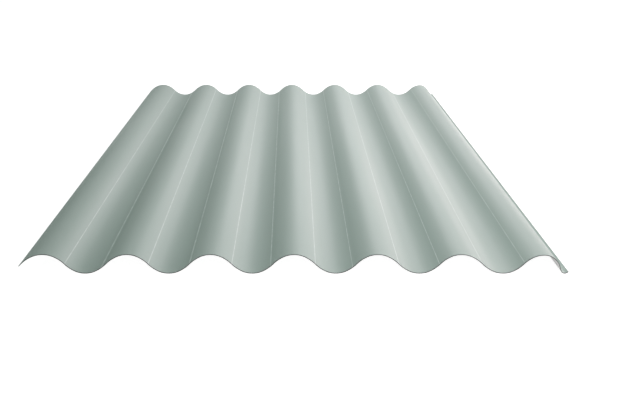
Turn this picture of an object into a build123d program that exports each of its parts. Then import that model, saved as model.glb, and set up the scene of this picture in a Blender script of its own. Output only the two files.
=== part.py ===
from build123d import *
import math
import os

os.makedirs("parts", exist_ok=True)

# A corrugated metal sheet, roll formed from one flat strip, as it lies on a level floor.
# X runs across the corrugations, Y along them and Z up. The origin is on the floor, under the
# middle of the sheet. The section is drawn along the underside, which is where a bend radius
# is measured, and the metal stands on top of it.

# The strip
sheet_length = 2400.0
sheet_thickness = 1.0

# The corrugations: crest to crest, crest to valley on one face, and the bend at each of them.
# The bend goes on to the middle of the flank on both sides, in a larger radius.
crest_count = 7
pitch = 140.0
wave_depth = 32.0
bend_radius = 42.0
bend_half_angle = 25.0

# The overlap edge, at -X. Its first crest is opened a little, to drop over the sheet beside it,
# and its outer flank goes on straight for a little, below the middle of the wave.
overlap_run = 3.8
overlap_ease = 2.2

# The underlap edge, at +X. Its last crest is one thickness low, to pass under the sheet beside it.
# A steep leg comes down from it to a tight foot, and a short lip turns up again.
underlap_drop = sheet_thickness
shoulder_radius = 27.0
leg_angle = 74.0
foot_radius = 7.2
lip_angle = 33.5
lip_straight = 3.2

# The shortest flat that forming leaves in the leg. It limits how large its bends can be.
least_flat = 4.0

# From the crest to the middle of the flank, a quarter of a wave, the bend radius is followed by
# the flank radius. The flank's angle and radius are those that end in the middle of the wave.
quarter_pitch = pitch / 4
half_depth = wave_depth / 2
bend_sin = math.sin(math.radians(bend_half_angle))
bend_cos = math.cos(math.radians(bend_half_angle))
flank_run = quarter_pitch - bend_radius * bend_sin
flank_rise = half_depth - bend_radius * (1 - bend_cos)
flank_angle = 2 * math.degrees(math.atan2(flank_rise, flank_run)) - bend_half_angle
flank_sin = math.sin(math.radians(flank_angle))
flank_cos = math.cos(math.radians(flank_angle))
flank_turn = flank_angle - bend_half_angle
flank_radius = flank_run / (flank_sin - bend_sin)

# Opening the first crest makes its two quarters wider. Larger radii keep the crest level.
overlap_quarter = quarter_pitch + overlap_ease / 2
radii_share = bend_sin * (bend_cos - flank_cos) - (flank_sin - bend_sin) * (1 - bend_cos)
overlap_bend_radius = (
    overlap_quarter * (bend_cos - flank_cos) - half_depth * (flank_sin - bend_sin)
) / radii_share
overlap_flank_radius = (
    half_depth * bend_sin - overlap_quarter * (1 - bend_cos)
) / radii_share
overlap_reach = quarter_pitch + overlap_ease + overlap_run

# The last rising flank is bent tighter, by as much as lowers the last crest by the underlap drop
last_flank_radius = flank_radius - underlap_drop / (bend_cos - flank_cos)
last_crest_shift = (flank_radius - last_flank_radius) * (flank_sin - bend_sin)

# The leg takes the height that the shoulder and the foot leave, so the foot stands on the floor
leg_cos = math.cos(math.radians(leg_angle))
leg_sin = math.sin(math.radians(leg_angle))
bends_height = wave_depth - underlap_drop - least_flat * leg_sin
largest_shoulder = bends_height / (1 - leg_cos) - foot_radius
shoulder_bend = min(shoulder_radius, largest_shoulder)
leg_height = wave_depth - underlap_drop - (shoulder_bend + foot_radius) * (1 - leg_cos)
leg_straight = leg_height / leg_sin
lip_cos = math.cos(math.radians(lip_angle))
lip_sin = math.sin(math.radians(lip_angle))
underlap_reach = (
    (shoulder_bend + foot_radius) * leg_sin
    + leg_height * leg_cos / leg_sin
    + foot_radius * lip_sin
    + lip_straight * lip_cos
    - last_crest_shift
)

# The outermost crests, with the whole width centred on the origin. The overlap edge is cut square
# to its flank, so the upper face's corner is the sheet's outermost point there.
cover_width = (crest_count - 1) * pitch
corner_reach = overlap_reach + sheet_thickness * flank_sin
sheet_width = corner_reach + cover_width + underlap_reach
first_crest_x = corner_reach - sheet_width / 2
overlap_edge = (
    first_crest_x - overlap_reach,
    half_depth - overlap_run * flank_sin / flank_cos,
)

# The bends in turn, as a radius and an angle, which is negative over a crest
overlap_crest = [
    (overlap_flank_radius, -flank_turn),
    (overlap_bend_radius, -2 * bend_half_angle),
    (overlap_flank_radius, -flank_turn),
]
valley = [
    (flank_radius, flank_turn),
    (bend_radius, 2 * bend_half_angle),
    (flank_radius, flank_turn),
]
crest = [(radius, -turn) for radius, turn in valley]
underlap_crest = [
    (last_flank_radius, -flank_turn),
    (bend_radius, -bend_half_angle),
    (shoulder_bend, -leg_angle),
]
bends = overlap_crest + (crest_count - 2) * (valley + crest) + valley + underlap_crest

with BuildPart() as corrugated_sheet:
    with BuildSketch(Plane.XZ) as section:
        with BuildLine() as underside:
            strip = PolarLine(overlap_edge, overlap_run / flank_cos, angle=flank_angle)
            for radius, turn in bends:
                strip = JernArc(strip @ 1, strip % 1, radius, turn)
            leg = PolarLine(strip @ 1, leg_straight, direction=strip % 1)
            foot = JernArc(leg @ 1, leg % 1, foot_radius, leg_angle + lip_angle)
            lip = PolarLine(foot @ 1, lip_straight, direction=foot % 1)
            offset(amount=sheet_thickness, side=Side.LEFT)
        make_face()
    extrude(amount=sheet_length / 2, both=True)

corrugated_sheet.part.label = "corrugated_sheet"
export_step(corrugated_sheet.part, "parts/corrugated_sheet.step")
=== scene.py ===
import math

import bpy
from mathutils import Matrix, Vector


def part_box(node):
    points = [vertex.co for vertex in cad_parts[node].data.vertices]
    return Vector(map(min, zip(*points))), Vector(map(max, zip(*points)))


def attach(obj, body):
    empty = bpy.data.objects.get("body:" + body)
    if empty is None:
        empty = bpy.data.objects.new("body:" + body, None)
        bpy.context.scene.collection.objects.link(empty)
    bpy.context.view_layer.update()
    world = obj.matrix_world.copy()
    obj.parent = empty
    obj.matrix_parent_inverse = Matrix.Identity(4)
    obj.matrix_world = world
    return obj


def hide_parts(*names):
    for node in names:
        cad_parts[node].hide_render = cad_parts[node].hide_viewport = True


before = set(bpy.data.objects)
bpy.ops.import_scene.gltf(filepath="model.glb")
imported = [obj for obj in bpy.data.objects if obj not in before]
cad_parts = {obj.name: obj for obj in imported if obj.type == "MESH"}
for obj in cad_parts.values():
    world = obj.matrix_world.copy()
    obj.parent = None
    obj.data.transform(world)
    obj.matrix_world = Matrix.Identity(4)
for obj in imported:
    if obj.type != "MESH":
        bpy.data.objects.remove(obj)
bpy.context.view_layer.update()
print("frame loaded:", sorted(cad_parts))

imageWidth = 617  # of the photograph, in pixels
sheetNode = "corrugated_sheet"
sheetLow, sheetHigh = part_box(sheetNode)


# helpers for work in edit mode
def deselectAll():
    if bpy.context.object and bpy.context.object.mode != "OBJECT":
        bpy.ops.object.mode_set(mode="OBJECT")
    bpy.ops.object.select_all(action="DESELECT")


def selectEdges(piece, wanted):
    # selects the edges whose two ends pass the test, and leaves edit mode open
    bpy.ops.object.mode_set(mode="EDIT")
    bpy.ops.mesh.select_mode(type="EDGE")
    bpy.ops.mesh.select_all(action="DESELECT")
    bpy.ops.object.mode_set(mode="OBJECT")
    points = piece.data.vertices
    for edge in piece.data.edges:
        ends = [points[i].co for i in edge.vertices]
        edge.select = wanted(ends[0], ends[1])
    bpy.ops.object.mode_set(mode="EDIT")


def paintFaces(piece, slotIndex, wanted):
    # gives one of the piece's materials to the faces whose middle passes the test
    bpy.ops.object.mode_set(mode="EDIT")
    bpy.ops.mesh.select_mode(type="FACE")
    bpy.ops.mesh.select_all(action="DESELECT")
    bpy.ops.object.mode_set(mode="OBJECT")
    for face in piece.data.polygons:
        face.select = wanted(face.center)
    bpy.ops.object.mode_set(mode="EDIT")
    piece.active_material_index = slotIndex
    bpy.ops.object.material_slot_assign()
    bpy.ops.object.mode_set(mode="OBJECT")


# the sheet: one flat strip that is bent wave by wave, as in the rolls
sheet = {
    "crests": 7,
    "pitch": 0.140,
    "waveDepth": 0.032,
    "bendRadius": 0.042,
    "bendHalfAngle": math.radians(25),
    "thickness": 0.001,
    "overlapRun": 0.0038,
    "overlapEase": 0.0022,
    "shoulderRadius": 0.027,
    "legAngle": math.radians(74),
    "footRadius": 0.0072,
    "lipAngle": math.radians(33.5),
    "lipStraight": 0.0032,
    "stepAngle": math.radians(3.5),  # the bends are this fine
    "mergeWithin": 0.000015,
    "edgeBreak": 0.00006,  # how far the shear rounds the cut edges
    "breakSegments": 2,
    "breakAbove": math.radians(60),  # only edges sharper than this are broken
    "bareEnd": 0.00009,  # how far from the cut ends the faces are bare steel
    "smoothBelow": math.radians(30),
}
backingSlot, steelSlot = 1, 2  # the coating's slot is 0
valleyPlaces = []


def bendEdge(centre, angle):
    # the selected edge goes round an axis along Y, a positive angle turns it down to the right
    steps = max(1, math.ceil(abs(angle) / sheet["stepAngle"]))
    bpy.ops.mesh.spin(steps=steps, angle=-angle, center=centre, axis=(0, 1, 0))


def pullEdge(along, angle):
    # the selected edge goes on flat, at an angle above the floor
    move = (along * math.cos(angle), 0, along * math.sin(angle))
    bpy.ops.mesh.extrude_region_move(TRANSFORM_OT_translate={"value": move})


def twoRadii(width, height):
    # the bend's and the flank's radius of a quarter wave that ends at this width and height
    sinBend, sinFlank = math.sin(sheet["bendHalfAngle"]), math.sin(sheet["flankAngle"])
    cosBend, cosFlank = math.cos(sheet["bendHalfAngle"]), math.cos(sheet["flankAngle"])
    share = sinBend * (cosBend - cosFlank) - (sinFlank - sinBend) * (1 - cosBend)
    bend = (width * (cosBend - cosFlank) - height * (sinFlank - sinBend)) / share
    flank = (height * sinBend - width * (1 - cosBend)) / share
    return bend, flank


def flankCentre(x, z, side, radii):
    # the axis of a flank's bend, from the crest or valley point and the side that the flank is on
    apart = radii[1] - radii[0]
    across = x - side * apart * math.sin(sheet["bendHalfAngle"])
    drop = radii[0] + apart * math.cos(sheet["bendHalfAngle"])
    return (across, 0, z - drop if z > 0 else drop)


def bendWave(x, z, radii):
    # half a wave, from the middle of one flank to the next: a crest, or a valley on the floor
    bend, turn = sheet["bendHalfAngle"], sheet["flankAngle"] - sheet["bendHalfAngle"]
    way = 1 if z > 0 else -1
    bendEdge(flankCentre(x, z, -1, radii), way * turn)
    bendEdge((x, 0, z - way * radii[0]), way * 2 * bend)
    bendEdge(flankCentre(x, z, 1, radii), way * turn)


def startStrip(startX):
    # the flat of the overlap edge, with its right edge selected for the first bend
    angle = sheet["flankAngle"]
    along = sheet["overlapRun"] / math.cos(angle)
    middleX = startX + sheet["overlapRun"] / 2
    middleZ = sheet["waveDepth"] / 2 - along / 2 * math.sin(angle)
    deselectAll()
    place, turn = (middleX, 0, middleZ), (0, -angle, 0)
    bpy.ops.mesh.primitive_plane_add(size=1, location=place, rotation=turn)
    piece = bpy.context.object
    piece.name = "corrugatedSheet"
    piece.scale = (along, sheetHigh.y - sheetLow.y, 1)
    bpy.ops.object.transform_apply(location=True, rotation=True, scale=True)
    selectEdges(piece, lambda a, b: min(a.x, b.x) > middleX)
    return piece


def bendUnderlap(gridX, waveRadii):
    # a crest one thickness low, a steep leg, a tight foot and a lip
    radius, bend = sheet["bendRadius"], sheet["bendHalfAngle"]
    flankAngle, leg, lip = sheet["flankAngle"], sheet["legAngle"], sheet["lipAngle"]
    shoulder, foot = sheet["shoulderRadius"], sheet["footRadius"]
    topZ = sheet["waveDepth"] - sheet["thickness"]
    lastFlank = waveRadii[1] - sheet["thickness"] / (math.cos(bend) - math.cos(flankAngle))
    shift = (waveRadii[1] - lastFlank) * (math.sin(flankAngle) - math.sin(bend))
    topX = gridX - shift
    bendEdge(flankCentre(topX, topZ, -1, (radius, lastFlank)), flankAngle - bend)
    bendEdge((topX, 0, topZ - radius), bend)
    bendEdge((topX, 0, topZ - shoulder), leg)
    legHeight = topZ - (shoulder + foot) * (1 - math.cos(leg))
    pullEdge(legHeight / math.sin(leg), -leg)
    footX = topX + (shoulder + foot) * math.sin(leg) + legHeight / math.tan(leg)
    bendEdge((footX, 0, foot), -(leg + lip))
    pullEdge(sheet["lipStraight"], lip)


def makeSheet():
    quarter, half = sheet["pitch"] / 4, sheet["waveDepth"] / 2
    radius, bend = sheet["bendRadius"], sheet["bendHalfAngle"]
    run, rise = quarter - radius * math.sin(bend), half - radius * (1 - math.cos(bend))
    sheet["flankAngle"] = 2 * math.atan2(rise, run) - bend
    waveRadii = twoRadii(quarter, half)
    startX = sheetLow.x + sheet["thickness"] * math.sin(sheet["flankAngle"])
    firstCrestX = startX + sheet["overlapRun"] + sheet["overlapEase"] + quarter
    piece = startStrip(startX)
    # the opened crest, then a valley and a crest in turn
    openRadii = twoRadii(quarter + sheet["overlapEase"] / 2, half)
    bendWave(firstCrestX - sheet["overlapEase"] / 2, sheet["waveDepth"], openRadii)
    for wave in range(sheet["crests"] - 1):
        valleyX = firstCrestX + (wave + 0.5) * sheet["pitch"]
        valleyPlaces.append(valleyX)
        bendWave(valleyX, 0, waveRadii)
        if wave < sheet["crests"] - 2:
            bendWave(valleyX + sheet["pitch"] / 2, sheet["waveDepth"], waveRadii)
    bendUnderlap(firstCrestX + (sheet["crests"] - 1) * sheet["pitch"], waveRadii)
    bpy.ops.mesh.select_all(action="SELECT")
    bpy.ops.mesh.remove_doubles(threshold=sheet["mergeWithin"])
    bpy.ops.mesh.normals_make_consistent(inside=False)
    bpy.ops.object.mode_set(mode="OBJECT")
    # the coated side is up
    if piece.data.polygons[0].normal.z < 0:
        piece.data.flip_normals()
    return piece


sheetPiece = makeSheet()
print("sheet bent:", len(sheetPiece.data.polygons), "faces")
print("strip's outside:", [round(side, 5) for side in sheetPiece.dimensions])


def finishSheet(piece):
    # the strip's thickness stands on the bent underside, and the shear breaks its edges a little
    wall = piece.modifiers.new("thickness", "SOLIDIFY")
    wall.thickness = sheet["thickness"]
    wall.offset = 1
    wall.use_even_offset = True
    wall.material_offset = backingSlot
    wall.material_offset_rim = steelSlot
    bpy.ops.object.modifier_apply(modifier=wall.name)
    edges = piece.modifiers.new("cutEdges", "BEVEL")
    edges.width = sheet["edgeBreak"]
    edges.segments = sheet["breakSegments"]
    edges.limit_method = "ANGLE"
    edges.angle_limit = sheet["breakAbove"]
    bpy.ops.object.modifier_apply(modifier=edges.name)
    bpy.ops.object.shade_smooth_by_angle(angle=sheet["smoothBelow"])


# the noises: how each is scaled along x, y and z, where a small number draws it out, and then its
# scale, detail and roughness
patterns = {
    "broadStreaks": ((1, 0.02, 0.6), 55, 3, 0.55),
    "fineStreaks": ((1, 0.006, 1), 900, 2, 0.5),
    "clouds": ((1, 0.35, 1), 9, 3, 0.5),
    "raggedEdge": ((1, 1, 1), 350, 3, 0.6),
    "markGaps": ((1, 1, 0.1), 25, 2, 0.6),
    "scoreLines": ((1, 1, 0.15), 2500, 2, 0.6),
}
# shares that the shared effects are mixed in, and the ranges that their noises are spread over
effects = {
    "broadShare": 0.65,
    "fineShare": 0.35,
    "streakTone": 2,  # times the clouds'
    "streakHeight": 0.4,  # times the orange peel's
    "peelDetail": 2,
    "peelRoughness": 0.6,
    "lineCore": 0.3,  # of the line's width, to each side
    "lineReach": 0.7,
    "raggedRange": (0.3, 0.7, 0.4, 1),
    "gapRange": (0.35, 0.6, 0.5, 1),
}
noiseMiddle = 0.5


def newGroup(name, inputs, outputs):
    group = bpy.data.node_groups.new(name, "ShaderNodeTree")
    for socketName, kind, value in inputs:
        socket = group.interface.new_socket(socketName, in_out="INPUT", socket_type=kind)
        if value is not None:
            socket.default_value = value
    for socketName, kind in outputs:
        group.interface.new_socket(socketName, in_out="OUTPUT", socket_type=kind)
    return group, group.nodes.new("NodeGroupInput"), group.nodes.new("NodeGroupOutput")


def mathNode(tree, operation, first, second):
    # each of the two is a number or an output socket
    node = tree.nodes.new("ShaderNodeMath")
    node.operation = operation
    for socket, source in zip(node.inputs, (first, second)):
        if isinstance(source, (int, float)):
            socket.default_value = source
        else:
            tree.links.new(source, socket)
    return node.outputs[0]


def mapRange(tree, source, fromLow, fromHigh, toLow, toHigh):
    # each end of the two ranges is a number or an output socket
    node = tree.nodes.new("ShaderNodeMapRange")
    tree.links.new(source, node.inputs["Value"])
    names = ("From Min", "From Max", "To Min", "To Max")
    for name, value in zip(names, (fromLow, fromHigh, toLow, toHigh)):
        if isinstance(value, (int, float)):
            node.inputs[name].default_value = value
        else:
            tree.links.new(value, node.inputs[name])
    return node.outputs["Result"]


def noise(tree, vector, stretch, scale, detail, roughness):
    place = tree.nodes.new("ShaderNodeMapping")
    place.inputs["Scale"].default_value = stretch
    tree.links.new(vector, place.inputs["Vector"])
    node = tree.nodes.new("ShaderNodeTexNoise")
    node.inputs["Scale"].default_value = scale
    node.inputs["Detail"].default_value = detail
    node.inputs["Roughness"].default_value = roughness
    tree.links.new(place.outputs[0], node.inputs["Vector"])
    return node.outputs["Fac"]


def makeRollStreaks():
    # long, thin variations that run with the sheet through the rolls
    group, source, result = newGroup(
        "rollStreaks",
        [("Vector", "NodeSocketVector", None), ("Strength", "NodeSocketFloat", 0.5)],
        [("Tone", "NodeSocketFloat"), ("Height", "NodeSocketFloat")],
    )
    vector = source.outputs["Vector"]
    broad = noise(group, vector, *patterns["broadStreaks"])
    fine = noise(group, vector, *patterns["fineStreaks"])
    both = mathNode(
        group,
        "ADD",
        mathNode(group, "MULTIPLY", broad, effects["broadShare"]),
        mathNode(group, "MULTIPLY", fine, effects["fineShare"]),
    )
    centred = mathNode(group, "SUBTRACT", both, noiseMiddle)
    tone = mathNode(group, "MULTIPLY", centred, source.outputs["Strength"])
    group.links.new(tone, result.inputs["Tone"])
    group.links.new(fine, result.inputs["Height"])
    return group


def makeCoatTexture():
    # the fine orange peel of a baked coating, and slow clouds in its gloss
    group, source, result = newGroup(
        "coatTexture",
        [("Vector", "NodeSocketVector", None), ("Peel Size", "NodeSocketFloat", 0.002)],
        [("Height", "NodeSocketFloat"), ("Cloud", "NodeSocketFloat")],
    )
    vector = source.outputs["Vector"]
    size = mathNode(group, "DIVIDE", 1, source.outputs["Peel Size"])
    peel = group.nodes.new("ShaderNodeTexNoise")
    peel.inputs["Detail"].default_value = effects["peelDetail"]
    peel.inputs["Roughness"].default_value = effects["peelRoughness"]
    group.links.new(vector, peel.inputs["Vector"])
    group.links.new(size, peel.inputs["Scale"])
    cloud = noise(group, vector, *patterns["clouds"])
    group.links.new(peel.outputs["Fac"], result.inputs["Height"])
    group.links.new(mathNode(group, "SUBTRACT", cloud, noiseMiddle), result.inputs["Cloud"])
    return group


def makeRollMark():
    # a thin line along the sheet, at a place across it and with a skew
    group, source, result = newGroup(
        "rollMark",
        [
            ("Vector", "NodeSocketVector", None),
            ("Place", "NodeSocketFloat", 0),
            ("Skew", "NodeSocketFloat", 0),
            ("Width", "NodeSocketFloat", 0.002),
            ("Strength", "NodeSocketFloat", 1),
        ],
        [("Mask", "NodeSocketFloat")],
    )
    split = group.nodes.new("ShaderNodeSeparateXYZ")
    group.links.new(source.outputs["Vector"], split.inputs[0])
    skew = mathNode(group, "MULTIPLY", split.outputs["Y"], source.outputs["Skew"])
    middle = mathNode(group, "ADD", skew, source.outputs["Place"])
    apart = mathNode(group, "ABSOLUTE", mathNode(group, "SUBTRACT", split.outputs["X"], middle), 0)
    inner = mathNode(group, "MULTIPLY", source.outputs["Width"], effects["lineCore"])
    outer = mathNode(group, "MULTIPLY", source.outputs["Width"], effects["lineReach"])
    line = mapRange(group, apart, inner, outer, 1, 0)
    mask = mathNode(group, "MULTIPLY", line, source.outputs["Strength"])
    group.links.new(mask, result.inputs["Mask"])
    return group


def makeCrushedShadeEdge():
    # a narrow ragged strip at both cut ends, where the shear crushed the coating; its near-black
    # colour is painted shade along the edge
    group, source, result = newGroup(
        "crushedShadeEdge",
        [
            ("Vector", "NodeSocketVector", None),
            ("End", "NodeSocketFloat", 1),
            ("Width", "NodeSocketFloat", 0.002),
        ],
        [("Mask", "NodeSocketFloat")],
    )
    split = group.nodes.new("ShaderNodeSeparateXYZ")
    group.links.new(source.outputs["Vector"], split.inputs[0])
    fromMiddle = mathNode(group, "ABSOLUTE", split.outputs["Y"], 0)
    fromEnd = mathNode(group, "SUBTRACT", source.outputs["End"], fromMiddle)
    ragged = noise(group, source.outputs["Vector"], *patterns["raggedEdge"])
    share = mapRange(group, ragged, *effects["raggedRange"])
    reach = mathNode(group, "MULTIPLY", source.outputs["Width"], share)
    group.links.new(mapRange(group, fromEnd, 0, reach, 1, 0), result.inputs["Mask"])
    return group


rollStreaks = makeRollStreaks()
coatTexture = makeCoatTexture()
rollMark = makeRollMark()
crushedShadeEdge = makeCrushedShadeEdge()
print("finish groups made")

# the finish: a satin coil coating on top, a pale backing coat below, bare steel where it is cut,
# near black as painted shade
coating = {
    "colour": (0.396, 0.500, 0.454),
    "roughness": 0.5,
    "shine": 0.38,
    "lacquer": 0.0,
    "peelSize": 0.002,
    "peelDepth": 0.00002,
    "streaks": 1.0,
    "toneSpread": 0.05,
    "glossSpread": 0.10,
}
backing = {
    "colour": (0.85, 0.86, 0.84),
    "roughness": 0.25,
    "shine": 0.5,
    "lacquer": 1.0,
    "peelSize": 0.002,
    "peelDepth": 0.00001,
    "streaks": 1.0,
    "toneSpread": 0.06,
    "glossSpread": 0.10,
}
# the pale line that the rolls leave along each flank, in millimetres: how far past the flank's
# middle it is at the front and at the back end of the sheet, and how wide
marks = {
    "fall": (
        (0.5, 3, 1.1),
        (0.5, -2, 1.2),
        (0.5, 3, 1.3),
        (0.5, 8.5, 1.3),
        (0.5, 9, 1.5),
        (0.5, 13.5, 2.0),
    ),
    "rise": (
        (-8, -12, 4.2),
        (-0.5, -3, 3.4),
        (-4.5, -6.5, 1.7),
        (-7, -3, 1.1),
        (-1.5, 0, 0.9),
        (1, 3, 0.7),
    ),
    "millimetre": 0.001,
    "colour": (0.77, 0.86, 0.83, 1),
    "fallStrength": 0.52,
    "riseStrength": 0.75,
}
# the crushed strip at the cut ends: its near-black colour is painted shade along the edge, its
# extra roughness is the crushed coating's
crushedAndShade = {"colour": (0.05, 0.055, 0.053, 1), "width": 0.0035, "strength": 0.85, "rougher": 0.2}
# the bare steel of the cut faces: burnished and torn patches, both near black as painted shade of
# the edge faces
cutSteel = {
    "burnishedInShade": (0.05, 0.053, 0.052, 1),
    "tornInShade": (0.012, 0.013, 0.013, 1),
    "shine": 0.1,
    "scoreDepth": 0.00004,
    "toneRange": (0.4, 0.65, 0, 1),
    "roughRange": (0.3, 0.7, 0.45, 0.70),
}


def newMaterial(name):
    material = bpy.data.materials.new(name)
    material.use_nodes = True
    tree = material.node_tree
    return material, tree, tree.nodes["Principled BSDF"]


def useGroup(tree, group, vector, **values):
    node = tree.nodes.new("ShaderNodeGroup")
    node.node_tree = group
    tree.links.new(vector, node.inputs["Vector"])
    for name, value in values.items():
        node.inputs[name].default_value = value
    return node


def shadeColour(tree, colour, amount):
    # the colour made lighter or darker by a signed amount
    node = tree.nodes.new("ShaderNodeVectorMath")
    node.operation = "SCALE"
    node.inputs[0].default_value = colour
    tree.links.new(mathNode(tree, "ADD", amount, 1), node.inputs["Scale"])
    return node.outputs[0]


def mixColour(tree, mask, first, second):
    # the first colour with the second one over it where the mask is; the first may be a socket
    node = tree.nodes.new("ShaderNodeMix")
    node.data_type = "RGBA"
    tree.links.new(mask, node.inputs["Factor"])
    if isinstance(first, tuple):
        node.inputs["A"].default_value = first
    else:
        tree.links.new(first, node.inputs["A"])
    node.inputs["B"].default_value = second
    return node.outputs["Result"]


def addBump(tree, shader, height, depth):
    bump = tree.nodes.new("ShaderNodeBump")
    bump.inputs["Distance"].default_value = depth
    tree.links.new(height, bump.inputs["Height"])
    tree.links.new(bump.outputs[0], shader.inputs["Normal"])


def addMarks(tree, vector):
    # all the roll marks as one mask, broken up a little along the sheet
    quarter, length = sheet["pitch"] / 4, sheetHigh.y - sheetLow.y
    total = 0
    for name, side in (("fall", -1), ("rise", 1)):
        for valleyX, sizes in zip(valleyPlaces, marks[name]):
            front, back, width = (size * marks["millimetre"] for size in sizes)
            line = useGroup(
                tree,
                rollMark,
                vector,
                Place=valleyX + side * quarter + (front + back) / 2,
                Skew=(back - front) / length,
                Width=width,
                Strength=marks[name + "Strength"],
            )
            total = mathNode(tree, "MAXIMUM", line.outputs["Mask"], total)
    gaps = noise(tree, vector, *patterns["markGaps"])
    return mathNode(tree, "MULTIPLY", total, mapRange(tree, gaps, *effects["gapRange"]))


def makeCoat(name, look, withMarks):
    material, tree, shader = newMaterial(name)
    shader.inputs["Specular IOR Level"].default_value = look["shine"]
    shader.inputs["Coat Weight"].default_value = look["lacquer"]
    vector = tree.nodes.new("ShaderNodeTexCoord").outputs["Object"]
    streaks = useGroup(tree, rollStreaks, vector, Strength=look["streaks"])
    texture = useGroup(tree, coatTexture, vector)
    texture.inputs["Peel Size"].default_value = look["peelSize"]
    # colour: streaks and fainter clouds, then the marks, then the crushed ends, darkened near to
    # black as painted shade
    spread = look["toneSpread"]
    streakTone = mathNode(
        tree, "MULTIPLY", streaks.outputs["Tone"], spread * effects["streakTone"]
    )
    cloudTone = mathNode(tree, "MULTIPLY", texture.outputs["Cloud"], spread)
    colour = shadeColour(tree, look["colour"], mathNode(tree, "ADD", streakTone, cloudTone))
    if withMarks:
        colour = mixColour(tree, addMarks(tree, vector), colour, marks["colour"])
    # painted shade: a near-black strip along both cut ends, laid over the crushed coating
    edge = useGroup(tree, crushedShadeEdge, vector, End=sheetHigh.y, Width=crushedAndShade["width"])
    crushedShadeMask = mathNode(tree, "MULTIPLY", edge.outputs["Mask"], crushedAndShade["strength"])
    colour = mixColour(tree, crushedShadeMask, colour, crushedAndShade["colour"])
    tree.links.new(colour, shader.inputs["Base Color"])
    gloss = mathNode(tree, "ADD", streaks.outputs["Tone"], texture.outputs["Cloud"])
    rough = mathNode(tree, "MULTIPLY", gloss, look["glossSpread"])
    rough = mathNode(tree, "ADD", rough, mathNode(tree, "MULTIPLY", crushedShadeMask, crushedAndShade["rougher"]))
    tree.links.new(mathNode(tree, "ADD", rough, look["roughness"]), shader.inputs["Roughness"])
    ridges = mathNode(tree, "MULTIPLY", streaks.outputs["Height"], effects["streakHeight"])
    height = mathNode(tree, "ADD", texture.outputs["Height"], ridges)
    addBump(tree, shader, height, look["peelDepth"])
    return material


def makeCutSteel():
    # a sheared edge: burnished and torn patches, drawn out into score lines across the thickness;
    # both are near black, as painted shade of the edge faces
    material, tree, shader = newMaterial("cutSteel")
    shader.inputs["Specular IOR Level"].default_value = cutSteel["shine"]
    vector = tree.nodes.new("ShaderNodeTexCoord").outputs["Object"]
    score = noise(tree, vector, *patterns["scoreLines"])
    mask = mapRange(tree, score, *cutSteel["toneRange"])
    colour = mixColour(tree, mask, cutSteel["tornInShade"], cutSteel["burnishedInShade"])
    tree.links.new(colour, shader.inputs["Base Color"])
    rough = mapRange(tree, score, *cutSteel["roughRange"])
    tree.links.new(rough, shader.inputs["Roughness"])
    addBump(tree, shader, score, cutSteel["scoreDepth"])
    return material


def dressSheet(piece):
    # in the order of the material slots
    finishes = [
        makeCoat("satinCoating", coating, True),
        makeCoat("backingCoat", backing, False),
        makeCutSteel(),
    ]
    for material in finishes:
        piece.data.materials.append(material)
    finishSheet(piece)
    # the bevel's own faces at the two cut ends are bare steel as well, with the same painted shade
    endY = sheetHigh.y - sheet["bareEnd"]
    paintFaces(piece, steelSlot, lambda centre: abs(centre.y) > endY)


dressSheet(sheetPiece)
print("sheet finished:", len(sheetPiece.data.polygons), "faces")

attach(sheetPiece, "root")
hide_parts(sheetNode)

# the studio: a pale floor that shows white, an even sky and two long soft lamps, one above and a
# little to the right, the other low at the right
studio = {
    "floorSize": 60,
    "floorColour": (0.55, 0.55, 0.55, 1),
    "floorWhite": 0.92,  # a glow that is only seen directly, and lights nothing
    "skyWhite": 1,
    "skyStrength": 0.27,
    "skyColour": (0.84, 1.0, 0.91, 1),
    "lampAim": (0, 0.1, 0),
    "lampSize": (5.4, 0.5),  # along the sheet and up the slope
    "keyPlace": (0.3, 0.1, 0.7),
    "keyPower": 11.2,
    "keyColour": (1.0, 0.90, 0.955),
    "sidePlace": (0.9, 0.1, 0.45),
    "sidePower": 15.4,
    "sideColour": (1.0, 0.82, 0.87),
}


def seenDirectly(tree):
    # 1 for what the camera sees, also in a reflection or through glass, 0 for light on the object
    rays = tree.nodes.new("ShaderNodeLightPath").outputs
    mirrored = mathNode(tree, "MAXIMUM", rays["Is Camera Ray"], rays["Is Glossy Ray"])
    return mathNode(tree, "MAXIMUM", mirrored, rays["Is Transmission Ray"])


def makeFloor():
    deselectAll()
    bpy.ops.mesh.primitive_plane_add(size=studio["floorSize"], location=(0, 0, 0))
    floor = bpy.context.object
    floor.name = "studioFloor"
    material = bpy.data.materials.new("paleFloor")
    material.use_nodes = True
    tree = material.node_tree
    tree.nodes.clear()
    output = tree.nodes.new("ShaderNodeOutputMaterial")
    matt = tree.nodes.new("ShaderNodeBsdfDiffuse")
    matt.inputs["Color"].default_value = studio["floorColour"]
    white = tree.nodes.new("ShaderNodeEmission")
    both = tree.nodes.new("ShaderNodeAddShader")
    glow = mathNode(tree, "MULTIPLY", seenDirectly(tree), studio["floorWhite"])
    tree.links.new(glow, white.inputs["Strength"])
    tree.links.new(matt.outputs[0], both.inputs[0])
    tree.links.new(white.outputs[0], both.inputs[1])
    tree.links.new(both.outputs[0], output.inputs["Surface"])
    floor.data.materials.append(material)


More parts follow.
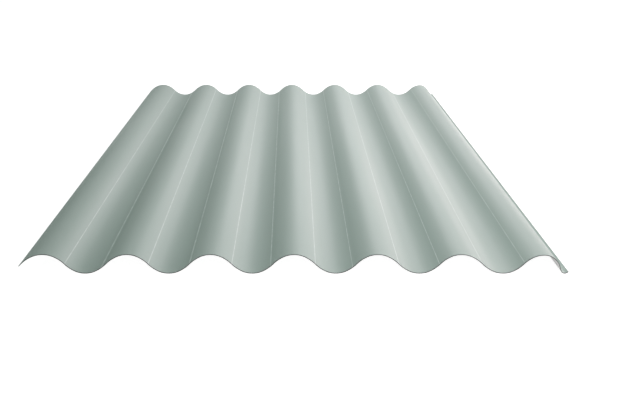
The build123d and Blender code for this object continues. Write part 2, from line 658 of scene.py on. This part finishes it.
def makeSky():
    world = bpy.data.worlds.new("studioSky")
    bpy.context.scene.world = world
    world.use_nodes = True
    tree = world.node_tree
    tree.nodes.clear()
    output = tree.nodes.new("ShaderNodeOutputWorld")
    soft = tree.nodes.new("ShaderNodeBackground")
    soft.inputs["Strength"].default_value = studio["skyStrength"]
    soft.inputs["Color"].default_value = studio["skyColour"]
    white = tree.nodes.new("ShaderNodeBackground")
    white.inputs["Strength"].default_value = studio["skyWhite"]
    mix = tree.nodes.new("ShaderNodeMixShader")
    tree.links.new(seenDirectly(tree), mix.inputs["Fac"])
    tree.links.new(soft.outputs[0], mix.inputs[1])
    tree.links.new(white.outputs[0], mix.inputs[2])
    tree.links.new(mix.outputs[0], output.inputs["Surface"])


def makeLamp(name):
    lamp = bpy.data.lights.new(name + "Lamp", "AREA")
    lamp.shape = "RECTANGLE"
    lamp.size, lamp.size_y = studio["lampSize"]
    lamp.energy = studio[name + "Power"]
    lamp.color = studio[name + "Colour"]
    holder = bpy.data.objects.new(name + "Lamp", lamp)
    bpy.context.scene.collection.objects.link(holder)
    holder.location = studio[name + "Place"]
    holder.visible_camera = False
    aim = Vector(studio["lampAim"]) - holder.location
    holder.rotation_euler = aim.to_track_quat("-Z", "Y").to_euler()


# the camera looks down on the sheet from in front, with its long edges running away
camera = {
    "place": (-0.0068, -3.588, 0.6007),
    "lookDown": math.radians(11.327),
    "lens": 85.69,
    "sensor": 36,
    "vanishX": 289.57,  # the pixel column in which the long edges meet
    "nearest": 0.05,
    "farthest": 200,
}


def makeCamera():
    data = bpy.data.cameras.new("photoCamera")
    data.lens = camera["lens"]
    data.sensor_width = camera["sensor"]
    data.shift_x = (imageWidth / 2 - camera["vanishX"]) / imageWidth
    data.clip_start, data.clip_end = camera["nearest"], camera["farthest"]
    holder = bpy.data.objects.new("photoCamera", data)
    bpy.context.scene.collection.objects.link(holder)
    holder.location = camera["place"]
    holder.rotation_euler = (math.pi / 2 - camera["lookDown"], 0, 0)
    bpy.context.scene.camera = holder


makeFloor()
makeSky()
makeLamp("key")
makeLamp("side")
makeCamera()
bpy.context.scene.view_settings.view_transform = "Standard"
print("studio and camera ready")
